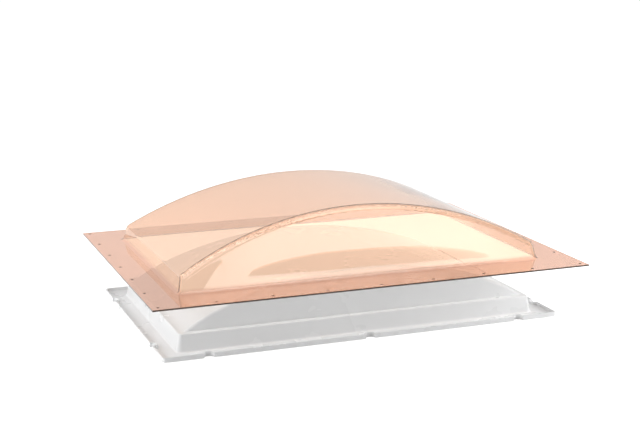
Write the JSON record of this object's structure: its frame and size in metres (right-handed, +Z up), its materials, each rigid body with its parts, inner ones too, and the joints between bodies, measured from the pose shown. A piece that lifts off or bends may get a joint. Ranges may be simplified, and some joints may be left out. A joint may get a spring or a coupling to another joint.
{
  "type": "low profile skylight",
  "caption": "Roof skylight of a bronze see-through vaulted dome with a screw flange over a white vaulted inner dome with a rimmed ceiling flange.",
  "frame": {"origin": "on the floor plane under the centre of both pieces", "axes": "+X along the long side, +Y along the short side, +Z up through the crown"},
  "size_m": [0.8636, 0.6096, 0.2458],
  "materials": {
    "bronze_sheet": "clear polished see-through sheet with a bronze tint",
    "white_sheet": "opaque white formed sheet with a soft gloss"
  },
  "bodies": {
    "root": {"outer_dome": "bronze_sheet", "inner_dome": "white_sheet"}
  },
  "joints": []
}
